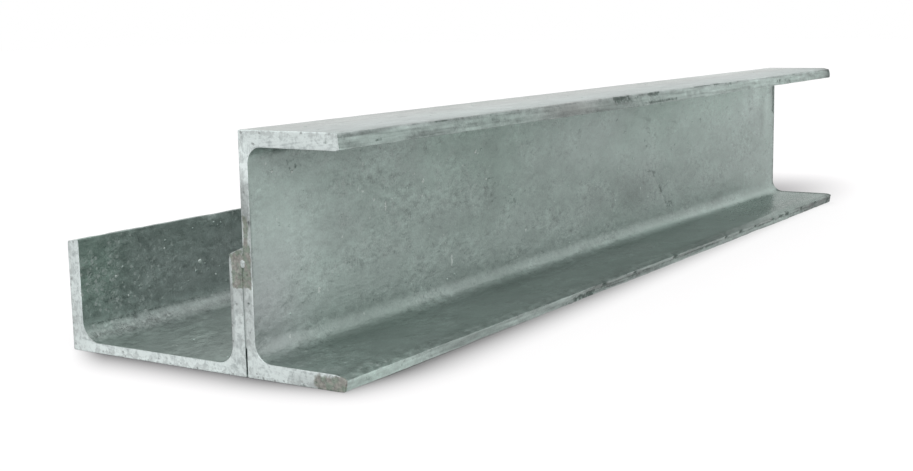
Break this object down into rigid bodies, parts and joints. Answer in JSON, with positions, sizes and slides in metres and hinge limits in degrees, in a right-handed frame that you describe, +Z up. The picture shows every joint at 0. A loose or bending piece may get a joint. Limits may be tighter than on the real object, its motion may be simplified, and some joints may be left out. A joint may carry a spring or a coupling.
{
  "type": "galvanised steel retaining wall corner post, two welded channels",
  "caption": "Corner post of two parallel flange channels welded at right angles, galvanised, lying down with one trough facing sideways and one facing up.",
  "frame": {"origin": "floor level, under the middle of the bounding box", "axes": "+Y along the post, +Z up, +X the way the upright channel's trough opens; the lying channel's trough opens up"},
  "size_m": [0.1506, 0.6, 0.1],
  "materials": {
    "galvanised_channel": "matte hot-dip galvanised zinc, grey-green and mottled on the rolled faces, bright and silvery on the cut ends",
    "galvanised_weld": "smooth zinc over weld ripples"
  },
  "bodies": {
    "root": {"upright_channel": "galvanised_channel", "lying_channel": "galvanised_channel", "fillet_weld_front": "galvanised_weld", "fillet_weld_middle": "galvanised_weld", "fillet_weld_rear": "galvanised_weld"}
  },
  "joints": []
}
